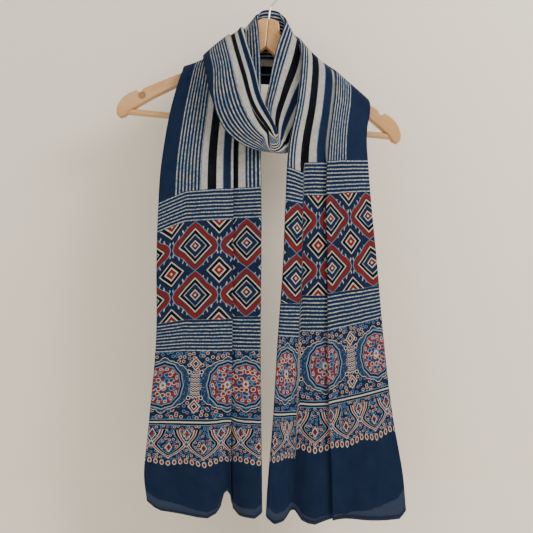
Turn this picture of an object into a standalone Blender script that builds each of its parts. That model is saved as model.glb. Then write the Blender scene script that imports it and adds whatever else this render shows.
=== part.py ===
"""Block-printed stole wound twice round the neck of a wooden clothes hanger.

Metres, +Z up, +Y towards the wall behind. The origin is the point where the hook bears on its rail.
Each sub-part is one object with its own material.
"""

import math
from collections import namedtuple

import bmesh
import bpy
import numpy as np
from mathutils import Matrix, Vector

# Hanger. Its own frame has x = 0 at the glued joint and z = 0 at the rail; the whole of it hangs
# a little lower on the right.
TILT = math.radians(5.4)
JOINT_X = 0.002
ARM_THICK = 0.013
ARM_EDGE = 0.002
GLUE_GAP = 0.0003
BAR_RADIUS = 0.005
BAR_HALF = 0.214
BAR_Z = -0.2345
BAR_PLAY = 0.0003
SOCKET_HALF = BAR_HALF + 0.0006
HOOK_RADIUS = 0.0014
HOOK_BEND = 0.020
HOOK_PLAY = 0.0003
HOOK_ROOT_Z = -0.084
BORE_END_Z = -0.0846

# Upper edge of one arm from the joint outwards: (distance from the joint, height).
ARM_TOP = (
    (0.0, -0.068),
    (0.010, -0.0695),
    (0.0165, -0.073),
    (0.020, -0.090),
    (0.030, -0.108),
    (0.054, -0.127),
    (0.080, -0.146),
    (0.110, -0.162),
    (0.126, -0.1658),
    (0.140, -0.1725),
    (0.160, -0.1828),
    (0.186, -0.1965),
)
# The notch that keeps straps from sliding off, then the rounded tip and its underside.
ARM_TIP = (
    (0.1895, -0.2025),
    (0.1935, -0.2035),
    (0.1955, -0.1995),
    (0.2065, -0.205),
    (0.216, -0.2125),
    (0.2225, -0.222),
    (0.2255, -0.2315),
    (0.2245, -0.241),
    (0.220, -0.2455),
    (0.212, -0.2425),
)
ARM_UNDER = (
    (0.2045, -0.2335),
    (0.168, -0.2075),
    (0.129, -0.1845),
    (0.080, -0.160),
    (0.040, -0.140),
    (0.016, -0.1255),
    (0.0, -0.113),
)

# Cloth
CLOTH_THICK = 0.001
FOLD_ROUND = 0.0026
ROW_BEND = 22.0
ROW_LENGTH = 0.095

# A fold line of the cloth, read across the band. across is 0 at the edge next to the neck and 1 at
# the outer edge; before and after are the depths, in layers, of the cloth on the two sides of it.
Fold = namedtuple("Fold", "across before after")

# Each section lists the same nine lines, from one selvedge to the other: selvedge, outer roll,
# pleat edge, pleat underfold, crease, neck fold, back turn, back return, selvedge.
SECTIONS = {
    "left_hem": (
        Fold(0.96, 1.0, 1.0),
        Fold(1.00, 1.0, 0.0),
        Fold(0.27, 0.0, 1.0),
        Fold(0.46, 1.0, 2.0),
        Fold(0.21, 2.0, 2.0),
        Fold(0.00, 0.3, 4.0),
        Fold(0.55, 4.0, 2.9),
        Fold(0.80, 2.9, 2.9),
        Fold(0.95, 2.9, 2.9),
    ),
    "left_tail": (
        Fold(0.96, 1.0, 1.0),
        Fold(1.00, 1.0, 0.0),
        Fold(0.27, 0.0, 1.0),
        Fold(0.34, 1.0, 2.0),
        Fold(0.21, 2.0, 2.0),
        Fold(0.00, 0.3, 4.0),
        Fold(0.55, 4.0, 2.9),
        Fold(0.80, 2.9, 2.9),
        Fold(0.95, 2.9, 2.9),
    ),
    "collar": (
        Fold(0.94, 1.4, 1.4),
        Fold(1.00, 1.4, 0.3),
        Fold(0.95, 0.3, 0.3),
        Fold(0.40, 0.3, 0.3),
        Fold(0.30, 0.2, 0.2),
        Fold(0.00, 0.2, 3.6),
        Fold(0.97, 3.6, 2.5),
        Fold(0.50, 2.5, 2.5),
        Fold(0.12, 2.5, 2.5),
    ),
    "left_band": (
        Fold(0.94, 1.0, 1.0),
        Fold(1.00, 1.0, 0.0),
        Fold(0.40, 0.0, 1.1),
        Fold(0.88, 1.1, 2.1),
        Fold(0.30, 2.1, 2.1),
        Fold(0.00, 0.5, 4.2),
        Fold(0.97, 4.2, 3.1),
        Fold(0.50, 3.1, 3.1),
        Fold(0.12, 3.1, 3.1),
    ),
    "right_tail": (
        Fold(0.96, 1.0, 1.0),
        Fold(1.00, 1.0, 0.0),
        Fold(0.49, 0.0, 1.0),
        Fold(0.60, 1.0, 2.0),
        Fold(0.20, 2.0, 2.0),
        Fold(0.00, 0.3, 4.2),
        Fold(0.55, 4.2, 3.1),
        Fold(0.80, 3.1, 3.1),
        Fold(0.95, 3.1, 3.1),
    ),
    "right_hem": (
        Fold(0.96, 1.0, 1.0),
        Fold(1.00, 1.0, 0.0),
        Fold(0.47, 0.0, 1.0),
        Fold(0.72, 1.0, 2.0),
        Fold(0.20, 2.0, 2.0),
        Fold(0.00, 0.3, 4.0),
        Fold(0.55, 4.0, 3.1),
        Fold(0.80, 3.1, 3.1),
        Fold(0.95, 3.1, 3.1),
    ),
}

# A station along the cloth: the point at the neck edge and at the outer edge of the band's outer
# face, the spacing of its layers, how far the outer edge droops along the cloth, and the crown of
# the band between its edges.
Station = namedtuple("Station", "neck outer gap droop crown section")

STATIONS = (
    # Left tail, from its hem up
    Station((-0.015, -0.040, -0.835), (-0.189, -0.040, -0.826), 0.0034, 0.000, 0.004, "left_hem"),
    Station((-0.015, -0.042, -0.787), (-0.192, -0.042, -0.785), 0.0034, 0.000, 0.004, "left_hem"),
    Station((-0.016, -0.044, -0.689), (-0.184, -0.044, -0.689), 0.0032, 0.000, 0.004, "left_hem"),
    Station((-0.017, -0.045, -0.554), (-0.174, -0.042, -0.558), 0.0030, -0.004, 0.004, "left_hem"),
    Station((-0.016, -0.045, -0.449), (-0.174, -0.040, -0.455), 0.0030, -0.006, 0.004, "left_hem"),
    Station((-0.016, -0.044, -0.359), (-0.173, -0.036, -0.370), 0.0028, -0.010, 0.004, "left_tail"),
    Station((-0.017, -0.040, -0.284), (-0.169, -0.032, -0.297), 0.0026, -0.008, 0.004, "left_tail"),
    Station((-0.017, -0.030, -0.205), (-0.156, -0.026, -0.222), 0.0022, 0.000, 0.002, "left_tail"),
    Station((-0.018, -0.021, -0.130), (-0.145, -0.020, -0.176), 0.0018, 0.000, 0.000, "left_tail"),
    # Over the left arm
    Station((-0.0210, -0.0185, -0.090), (-0.139, -0.0175, -0.157), 0.0015, 0.0, -0.004, "left_tail"),
    Station((-0.0245, -0.0015, -0.062), (-0.135, -0.0005, -0.142), 0.0014, 0.0, -0.0122, "left_tail"),
    # Behind the neck, the first time
    Station((-0.022, 0.0195, -0.049), (-0.110, 0.0215, -0.150), 0.0015, 0.0, -0.002, "collar"),
    Station((-0.002, 0.026, -0.042), (-0.006, 0.026, -0.147), 0.0018, 0.0, 0.000, "collar"),
    Station((0.019, 0.0205, -0.051), (0.078, 0.0225, -0.156), 0.0017, 0.0, -0.002, "collar"),
    # Over the right arm
    Station((0.0235, 0.0, -0.0675), (0.098, 0.0, -0.1555), 0.0015, 0.0, -0.0095, "collar"),
    Station((0.0195, -0.0195, -0.088), (0.095, -0.0190, -0.182), 0.0015, 0.0, -0.003, "collar"),
    # The cowl in front: down its right side, round the bottom, up its left side
    Station((0.010, -0.025, -0.116), (0.096, -0.0235, -0.212), 0.0018, 0.0, 0.000, "collar"),
    Station((-0.003, -0.031, -0.176), (0.067, -0.029, -0.251), 0.0018, 0.0, 0.002, "collar"),
    Station((-0.009, -0.037, -0.226), (0.045, -0.034, -0.275), 0.0020, 0.0, 0.002, "collar"),
    Station((0.000, -0.045, -0.253), (0.026, -0.042, -0.286), 0.0022, 0.0, 0.002, "collar"),
    Station((0.009, -0.057, -0.264), (0.004, -0.053, -0.2905), 0.0022, 0.0, 0.002, "collar"),
    Station((0.003, -0.065, -0.249), (-0.027, -0.062, -0.287), 0.0022, 0.0, 0.004, "left_band"),
    Station((-0.014, -0.063, -0.214), (-0.064, -0.062, -0.264), 0.0022, 0.0, 0.006, "left_band"),
    Station((-0.027, -0.054, -0.162), (-0.090, -0.055, -0.207), 0.0020, 0.0, 0.006, "left_band"),
    Station((-0.039, -0.041, -0.120), (-0.099, -0.044, -0.168), 0.0017, 0.0, 0.004, "left_band"),
    # Over the left arm again, on top of the first turn
    Station((-0.045, -0.029, -0.096), (-0.1045, -0.030, -0.144), 0.0015, 0.0, 0.002, "left_band"),
    Station((-0.0475, -0.001, -0.0785), (-0.1065, -0.001, -0.1265), 0.0014, 0.0, 0.002, "left_band"),
    # Behind the neck again, outside the first turn
    Station((-0.040, 0.035, -0.065), (-0.091, 0.038, -0.152), 0.0020, 0.0, 0.002, "left_band"),
    Station((-0.002, 0.044, -0.048), (-0.005, 0.044, -0.155), 0.0020, 0.0, 0.002, "left_band"),
    Station((0.037, 0.036, -0.074), (0.104, 0.038, -0.173), 0.0022, 0.0, 0.002, "left_band"),
    # Over the right arm, on top of the first turn
    Station((0.0451, 0.000, -0.0985), (0.1465, 0.000, -0.1915), 0.0014, 0.0, 0.000, "right_tail"),
    Station((0.046, -0.029, -0.124), (0.150, -0.028, -0.208), 0.0016, 0.0, 0.001, "right_tail"),
    # Right tail, down to its hem
    Station((0.044, -0.037, -0.166), (0.1495, -0.031, -0.228), 0.0020, 0.000, 0.002, "right_tail"),
    Station((0.040, -0.045, -0.205), (0.145, -0.036, -0.247), 0.0024, 0.000, 0.003, "right_tail"),
    Station((0.027, -0.050, -0.270), (0.145, -0.042, -0.284), 0.0028, 0.010, 0.004, "right_tail"),
    Station((0.021, -0.050, -0.360), (0.149, -0.044, -0.356), 0.0030, 0.014, 0.004, "right_hem"),
    Station((0.017, -0.050, -0.458), (0.157, -0.044, -0.446), 0.0030, 0.016, 0.004, "right_hem"),
    Station((0.009, -0.049, -0.569), (0.167, -0.044, -0.556), 0.0030, 0.016, 0.004, "right_hem"),
    Station((0.002, -0.047, -0.688), (0.180, -0.044, -0.670), 0.0032, 0.016, 0.004, "right_hem"),
    Station((-0.005, -0.045, -0.779), (0.196, -0.042, -0.760), 0.0034, 0.016, 0.004, "right_hem"),
    Station((-0.008, -0.044, -0.842), (0.202, -0.040, -0.822), 0.0034, 0.016, 0.004, "right_hem"),
)

# Troughs that run up a tail from its hem, shared by all its layers: which end of the cloth, where
# across, half width, depth at the hem, depth high up, and the length over which one becomes the
# other.
Trough = namedtuple("Trough", "end across half_width hem_depth high_depth fade")

TROUGHS = (
    Trough("left", 0.31, 0.12, 0.018, 0.002, 0.21),
    Trough("right", 0.18, 0.12, 0.012, 0.003, 0.25),
)
TAIL_LENGTH = 0.62


def material(name, colour, roughness, metallic=0.0):
    made = bpy.data.materials.new(name)
    made.use_nodes = True
    shader = made.node_tree.nodes["Principled BSDF"]
    shader.inputs["Base Color"].default_value = (*colour, 1.0)
    shader.inputs["Roughness"].default_value = roughness
    shader.inputs["Metallic"].default_value = metallic
    return made


def add_object(name, mesh, finish):
    made = bpy.data.objects.new(name, mesh)
    mesh.materials.append(finish)
    bpy.context.scene.collection.objects.link(made)
    return made


def hang(made):
    """Places an object of the hanger's own frame in the world: tilted about the rail."""
    turn = Matrix.Rotation(TILT, 4, "Y")
    made.matrix_world = Matrix.Translation(Vector((JOINT_X, 0.0, 0.0))) @ turn


def hanger_cutter(name, radius, low, high, axis):
    """A round cutter in the hanger's frame from low to high, along X or Z."""
    builder = bmesh.new()
    bmesh.ops.create_cone(
        builder,
        cap_ends=True,
        segments=24,
        radius1=radius,
        radius2=radius,
        depth=high - low,
    )
    middle = (low + high) / 2
    if axis == "X":
        place = Matrix.Translation((middle, 0.0, BAR_Z)) @ Matrix.Rotation(math.pi / 2, 4, "Y")
    else:
        place = Matrix.Translation((0.0, 0.0, middle))
    bmesh.ops.transform(builder, matrix=place, verts=builder.verts)
    mesh = bpy.data.meshes.new(name)
    builder.to_mesh(mesh)
    builder.free()
    made = bpy.data.objects.new(name, mesh)
    bpy.context.scene.collection.objects.link(made)
    made.hide_render = True
    made.display_type = "WIRE"
    hang(made)
    return made


def build_arm(name, side, cutters, finish):
    """One arm: its outline extruded through the thickness, its long edges rounded over."""
    outline = [*ARM_TOP, *ARM_TIP, *ARM_UNDER]
    builder = bmesh.new()
    corners = []
    for distance, height in outline:
        x = side * max(distance, GLUE_GAP / 2)
        corners.append(builder.verts.new((x, -ARM_THICK / 2, height)))
    face = builder.faces.new(corners)
    grown = bmesh.ops.extrude_face_region(builder, geom=[face])
    moved = [item for item in grown["geom"] if isinstance(item, bmesh.types.BMVert)]
    bmesh.ops.translate(builder, vec=(0.0, ARM_THICK, 0.0), verts=moved)
    bmesh.ops.recalc_face_normals(builder, faces=builder.faces)
    mesh = bpy.data.meshes.new(name)
    builder.to_mesh(mesh)
    builder.free()
    made = add_object(name, mesh, finish)
    hang(made)
    rounding = made.modifiers.new("rounded edges", "BEVEL")
    rounding.width = ARM_EDGE
    rounding.segments = 2
    rounding.limit_method = "ANGLE"
    rounding.angle_limit = math.radians(60)
    for cutter in cutters:
        cut = made.modifiers.new(cutter.name, "BOOLEAN")
        cut.operation = "DIFFERENCE"
        cut.object = cutter
    return made


def build_bar(finish):
    builder = bmesh.new()
    bmesh.ops.create_cone(
        builder,
        cap_ends=True,
        segments=20,
        radius1=BAR_RADIUS,
        radius2=BAR_RADIUS,
        depth=2 * BAR_HALF,
    )
    place = Matrix.Translation((0.0, 0.0, BAR_Z)) @ Matrix.Rotation(math.pi / 2, 4, "Y")
    bmesh.ops.transform(builder, matrix=place, verts=builder.verts)
    mesh = bpy.data.meshes.new("trouser_bar")
    builder.to_mesh(mesh)
    builder.free()
    made = add_object("trouser_bar", mesh, finish)
    hang(made)
    mesh.shade_smooth()
    mesh.set_sharp_from_angle(angle=math.radians(40))
    return made


def hook_route():
    """Centre line of the hook in the hanger's frame: stem, sway to the right, bowl, open end."""
    centre_x = -JOINT_X
    centre_z = HOOK_RADIUS - HOOK_BEND
    points = [(0.0, HOOK_ROOT_Z), (0.0, -0.074), (0.0, -0.064), (0.0002, -0.055), (0.0016, -0.048)]
    start = math.radians(-48)
    finish = math.radians(205)
    steps = 22
    for step in range(steps + 1):
        angle = start + (finish - start) * step / steps
        x = centre_x + HOOK_BEND * math.cos(angle)
        z = centre_z + HOOK_BEND * math.sin(angle)
        points.append((x, z))
    return points


def build_hook(finish):
    curve = bpy.data.curves.new("hook", "CURVE")
    curve.dimensions = "3D"
    curve.bevel_depth = HOOK_RADIUS
    curve.bevel_resolution = 2
    curve.use_fill_caps = True
    route = hook_route()
    spline = curve.splines.new("POLY")
    spline.points.add(len(route) - 1)
    for point, (x, z) in zip(spline.points, route):
        point.co = (x, 0.0, z, 1.0)
    made = add_object("hook", curve, finish)
    hang(made)
    return made


def smooth_step(x):
    x = np.clip(x, 0.0, 1.0)
    return x * x * (3.0 - 2.0 * x)


def along_stations(values, places, wanted):
    """Hermite curve through a value at each station, read at the wanted places."""
    values = np.asarray(values, float)
    slopes = np.zeros_like(values)
    steps = np.diff(places)[:, None]
    rises = np.diff(values, axis=0) / steps
    slopes[1:-1] = (rises[:-1] * steps[1:] + rises[1:] * steps[:-1]) / (steps[:-1] + steps[1:])
    slopes[0] = rises[0]
    slopes[-1] = rises[-1]
    first = np.clip(np.searchsorted(places, wanted, side="right") - 1, 0, len(places) - 2)
    step = (places[first + 1] - places[first])[:, None]
    t = ((wanted - places[first])[:, None]) / step
    start = (1 + 2 * t) * (1 - t) ** 2 * values[first]
    end = t * t * (3 - 2 * t) * values[first + 1]
    turn = t * (1 - t) ** 2 * step * slopes[first] - t * t * (1 - t) * step * slopes[first + 1]
    return start + end + turn


def between_stations(values, places, wanted):
    """Eases from each station's value to the next without running past either."""
    values = np.asarray(values, float)
    first = np.clip(np.searchsorted(places, wanted, side="right") - 1, 0, len(places) - 2)
    share = smooth_step((wanted - places[first]) / (places[first + 1] - places[first]))
    return values[first] + share[:, None] * (values[first + 1] - values[first])


def spline_weights(count, wanted):
    """Weights of a clamped cubic B-spline's control points at the wanted places from 0 to 1."""
    knots = np.concatenate([np.zeros(3), np.linspace(0, 1, count - 2), np.ones(3)])
    wanted = np.minimum(wanted, 1 - 1e-9)
    weights = ((wanted[:, None] >= knots[:-1]) & (wanted[:, None] < knots[1:])).astype(float)
    for degree in range(1, 4):
        size = len(knots) - degree - 1
        raised = np.zeros((len(wanted), size))
        for i in range(size):
            left = knots[i + degree] - knots[i]
            right = knots[i + degree + 1] - knots[i + 1]
            if left > 0:
                raised[:, i] += (wanted - knots[i]) / left * weights[:, i]
            if right > 0:
                raised[:, i] += (knots[i + degree + 1] - wanted) / right * weights[:, i + 1]
        weights = raised
    return weights


def column_places(fold_count):
    """Where the columns lie along a section's spline: its ends, and four to each fold."""
    count = 5 * (fold_count - 2) + 3
    knots = np.concatenate([np.zeros(3), np.linspace(0, 1, count - 2), np.ones(3)])
    middles = np.array([knots[i + 1 : i + 4].mean() for i in range(count)])
    places = [0.0]
    for i in range(fold_count - 2):
        first = 1 + 5 * i
        places += [middles[first], middles[first + 1]]
        places += [(middles[first + 2] + middles[first + 3]) / 2, middles[first + 4]]
    return np.array([*places, middles[-2], 1.0])


def section_controls(folds, width, gap):
    """Control points (across, depth) of one section, in metres, two to each side of a fold."""
    points = [(folds[0][0] * width, folds[0][1] * gap)]
    for i in range(1, len(folds)):
        across, before, after = folds[i]
        came = (across - folds[i - 1][0]) * width
        back = -np.clip(came / (2 * FOLD_ROUND), -1, 1) * FOLD_ROUND
        middle = ((folds[i - 1][0] + across) / 2 * width, (folds[i - 1][2] + before) / 2 * gap)
        points.append(middle)
        if i == len(folds) - 1:
            points.append((across * width, before * gap))
            break
        goes = (folds[i + 1][0] - across) * width
        ahead = np.clip(goes / (2 * FOLD_ROUND), -1, 1) * FOLD_ROUND
        points.append((across * width + back, before * gap))
        points.append((across * width, before * gap))
        points.append((across * width, after * gap))
        points.append((across * width + ahead, after * gap))
    return np.array(points)


def trough_depth(across, from_hem, end):
    depth = np.zeros_like(across)
    for trough in TROUGHS:
        if trough.end != end:
            continue
        rise = smooth_step(from_hem / trough.fade)
        fades = 1 - smooth_step((from_hem - TAIL_LENGTH * 0.75) / (TAIL_LENGTH * 0.25))
        size = trough.hem_depth * (1 - rise) + trough.high_depth * rise
        depth += fades * size * np.exp(-(((across - trough.across) / trough.half_width) ** 2))
    return depth


def row_places(places, middle):
    """Rows between stations, more of them where the cloth turns or runs far."""
    legs = np.diff(middle, axis=0)
    lengths = np.linalg.norm(legs, axis=1)
    headings = legs / lengths[:, None]
    bends = np.degrees(np.arccos(np.clip((headings[1:] * headings[:-1]).sum(axis=1), -1, 1)))
    nearby = np.zeros(len(legs))
    nearby[1:] += bends / 2
    nearby[:-1] += bends / 2
    wanted = [0.0]
    for leg, length in enumerate(lengths):
        steps = int(np.ceil(nearby[leg] / ROW_BEND + length / ROW_LENGTH))
        wanted += [places[leg] + length * (step + 1) / steps for step in range(steps)]
    return np.array(wanted)


def cloth_points():
    """Middle surface of the cloth: an array of rows along it and columns across it."""
    neck = np.array([station.neck for station in STATIONS])
    outer = np.array([station.outer for station in STATIONS])
    middle = (neck + outer) / 2
    chords = np.linalg.norm(np.diff(middle, axis=0), axis=1)
    places = np.concatenate([[0.0], np.cumsum(chords)])
    shapes = []
    for station in STATIONS:
        folds = [value for fold in SECTIONS[station.section] for value in fold]
        shapes.append((station.gap, station.droop, station.crown, *folds))
    wanted = row_places(places, middle)
    edges = along_stations(np.hstack([neck, outer]), places, wanted)
    shapes = between_stations(shapes, places, wanted)
    ahead = along_stations(middle, places, np.minimum(wanted + 0.002, places[-1]))
    behind = along_stations(middle, places, np.maximum(wanted - 0.002, 0.0))
    columns = column_places(len(SECTIONS["collar"]))
    weights = spline_weights(5 * len(SECTIONS["collar"]) - 7, columns)
    surface = np.zeros((len(wanted), len(columns), 3))
    for row, shape in enumerate(shapes):
        inner, edge = edges[row, 0:3], edges[row, 3:6]
        gap, droop, crown = shape[0:3]
        folds = shape[3:].reshape(-1, 3)
        width = np.linalg.norm(inner - edge)
        towards_neck = (inner - edge) / width
        along = ahead[row] - behind[row]
        normal = np.cross(towards_neck, along)
        normal /= np.linalg.norm(normal)
        along = np.cross(normal, towards_neck)
        controls = section_controls(folds, width, gap)
        across, depth = (weights @ controls).T
        share = np.clip(across / width, 0, 1)
        lift = 4 * crown * share * (1 - share) - depth
        from_left = wanted[row]
        from_right = places[-1] - wanted[row]
        lift -= trough_depth(share, from_left, "left")
        lift -= trough_depth(share, from_right, "right")
        slide = droop * smooth_step((share - 0.45) / 0.55)
        surface[row] = (
            inner
            - across[:, None] * towards_neck
            + lift[:, None] * normal
            + slide[:, None] * along
        )
    return surface


def build_stole(finish):
    """The whole cloth as one sheet, thickened about its middle surface."""
    surface = cloth_points()
    rows, columns, _ = surface.shape
    builder = bmesh.new()
    grid = [[builder.verts.new(point) for point in row] for row in surface]
    for r in range(rows - 1):
        for c in range(columns - 1):
            builder.faces.new((grid[r][c], grid[r][c + 1], grid[r + 1][c + 1], grid[r + 1][c]))
    mesh = bpy.data.meshes.new("stole")
    builder.to_mesh(mesh)
    builder.free()
    made = add_object("stole", mesh, finish)
    wall = made.modifiers.new("cloth thickness", "SOLIDIFY")
    wall.thickness = CLOTH_THICK
    wall.offset = 0.0
    mesh.shade_smooth()
    return made


def build_all():
    for old in list(bpy.data.objects):
        bpy.data.objects.remove(old)
    pine = material("pine", (0.72, 0.46, 0.22), 0.45)
    varnished = material("varnished pine", (0.70, 0.38, 0.14), 0.25)
    steel = material("bright steel", (0.62, 0.58, 0.52), 0.3, 1.0)
    cotton = material("indigo cotton", (0.02, 0.045, 0.12), 0.85)
    socket = hanger_cutter("bar socket", BAR_RADIUS + BAR_PLAY, -SOCKET_HALF, SOCKET_HALF, "X")
    bore = hanger_cutter("hook bore", HOOK_RADIUS + HOOK_PLAY, BORE_END_Z, 0.0, "Z")
    build_arm("hanger_arm_left", -1, (socket, bore), pine)
    build_arm("hanger_arm_right", 1, (socket, bore), pine)
    build_bar(varnished)
    build_hook(steel)
    build_stole(cotton)


build_all()
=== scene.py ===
"""Ajrakh stole on its wooden hanger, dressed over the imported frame: one operator for each piece."""

import math
from collections import namedtuple

import bmesh
import bpy
import numpy as np
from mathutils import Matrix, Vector


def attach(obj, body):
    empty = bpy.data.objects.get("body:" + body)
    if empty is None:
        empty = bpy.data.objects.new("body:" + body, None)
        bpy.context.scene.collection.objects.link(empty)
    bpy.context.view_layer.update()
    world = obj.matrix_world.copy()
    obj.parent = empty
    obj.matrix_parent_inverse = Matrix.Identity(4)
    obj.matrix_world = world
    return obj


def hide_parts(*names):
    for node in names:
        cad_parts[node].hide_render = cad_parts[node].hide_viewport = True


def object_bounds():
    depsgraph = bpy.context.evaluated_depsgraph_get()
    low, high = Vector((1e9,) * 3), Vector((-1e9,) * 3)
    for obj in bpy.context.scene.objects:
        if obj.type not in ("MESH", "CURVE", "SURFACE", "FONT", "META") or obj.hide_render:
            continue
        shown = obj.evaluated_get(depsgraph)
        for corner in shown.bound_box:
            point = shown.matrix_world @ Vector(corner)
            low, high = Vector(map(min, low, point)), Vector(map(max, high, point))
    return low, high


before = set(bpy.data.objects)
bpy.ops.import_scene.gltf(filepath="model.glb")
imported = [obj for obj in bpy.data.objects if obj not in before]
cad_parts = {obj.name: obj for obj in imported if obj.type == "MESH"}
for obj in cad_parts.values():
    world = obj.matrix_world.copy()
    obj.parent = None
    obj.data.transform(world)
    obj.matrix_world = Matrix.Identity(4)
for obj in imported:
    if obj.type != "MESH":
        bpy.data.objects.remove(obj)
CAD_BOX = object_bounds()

bl_info = {
    "name": "Ajrakh stole on a hanger",
    "version": (1, 0, 0),
    "blender": (4, 5, 0),
    "location": "3D View > Sidebar > Stole",
    "description": "Builds a block-printed stole wound round a wooden clothes hanger",
    "category": "Object",
}

# The hanger hangs a little lower on the right.
TILT = math.radians(5.4)
ARM_FALL = math.radians(31)
KNOT = (-0.2037, -0.0065, -0.1895)
PINE = (0.58, 0.292, 0.105)
PINE_DARK = (0.40, 0.20, 0.075)
VARNISHED_PINE = (0.60, 0.35, 0.14)

# Cloth
CLOTH_THICK = 0.0008
FLAT_WIDTH = 0.375
FLAT_LENGTH = 2.0
FOLD_ROUND = 0.0026
ROW_BEND = 5.6
ROW_LENGTH = 0.013
COLUMNS_BETWEEN = 4
TAIL_LENGTH = 0.62

# Height of each printed band above its hem.
PLAIN_TOP = 0.083
ARCH_TOP = 0.142
RULE_TOP = 0.152
MEDALLION_TOP = 0.252
LINES_TOP = 0.302
DIAMOND_TOP = 0.449
END_TOP = 0.497

# A fold line of the cloth, read across the band. across is 0 at the edge next to the neck and 1 at
# the outer edge; before and after are the depths, in layers, of the cloth on the two sides of it.
Fold = namedtuple("Fold", "across before after")

# Each section lists the same nine lines, from one selvedge to the other: selvedge, outer roll,
# pleat edge, pleat underfold, crease, neck fold, back turn, back return, selvedge.
SECTIONS = {
    "left_hem": (
        Fold(0.96, 1.0, 1.0),
        Fold(1.00, 1.0, 0.0),
        Fold(0.27, 0.0, 1.0),
        Fold(0.46, 1.0, 2.0),
        Fold(0.21, 2.0, 2.0),
        Fold(0.00, 0.3, 4.0),
        Fold(0.55, 4.0, 2.9),
        Fold(0.80, 2.9, 2.9),
        Fold(0.95, 2.9, 2.9),
    ),
    "left_tail": (
        Fold(0.96, 1.0, 1.0),
        Fold(1.00, 1.0, 0.0),
        Fold(0.27, 0.0, 1.0),
        Fold(0.34, 1.0, 2.0),
        Fold(0.21, 2.0, 2.0),
        Fold(0.00, 0.3, 4.0),
        Fold(0.55, 4.0, 2.9),
        Fold(0.80, 2.9, 2.9),
        Fold(0.95, 2.9, 2.9),
    ),
    "collar": (
        Fold(0.94, 1.4, 1.4),
        Fold(1.00, 1.4, 0.3),
        Fold(0.95, 0.3, 0.3),
        Fold(0.40, 0.3, 0.3),
        Fold(0.30, 0.2, 0.2),
        Fold(0.00, 0.2, 3.6),
        Fold(0.97, 3.6, 2.5),
        Fold(0.50, 2.5, 2.5),
        Fold(0.12, 2.5, 2.5),
    ),
    "left_band": (
        Fold(0.94, 1.0, 1.0),
        Fold(1.00, 1.0, 0.0),
        Fold(0.30, 0.0, 1.1),
        Fold(0.88, 1.1, 2.1),
        Fold(0.14, 2.1, 2.1),
        Fold(0.00, 0.5, 4.2),
        Fold(0.97, 4.2, 3.1),
        Fold(0.50, 3.1, 3.1),
        Fold(0.12, 3.1, 3.1),
    ),
    "right_tail": (
        Fold(0.96, 1.0, 1.0),
        Fold(1.00, 1.0, 0.0),
        Fold(0.49, 0.0, 1.0),
        Fold(0.60, 1.0, 2.0),
        Fold(0.20, 2.0, 2.0),
        Fold(0.00, 0.3, 4.2),
        Fold(0.55, 4.2, 3.1),
        Fold(0.80, 3.1, 3.1),
        Fold(0.95, 3.1, 3.1),
    ),
    "right_hem": (
        Fold(0.96, 1.0, 1.0),
        Fold(1.00, 1.0, 0.0),
        Fold(0.47, 0.0, 1.0),
        Fold(0.72, 1.0, 2.0),
        Fold(0.20, 2.0, 2.0),
        Fold(0.00, 0.3, 4.0),
        Fold(0.55, 4.0, 3.1),
        Fold(0.80, 3.1, 3.1),
        Fold(0.95, 3.1, 3.1),
    ),
}

# A station along the cloth: the point at the neck edge and at the outer edge of the band's outer
# face, the spacing of its layers, how far the outer edge droops along the cloth, and the crown of
# the band between its edges.
Station = namedtuple("Station", "neck outer gap droop crown section")

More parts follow.
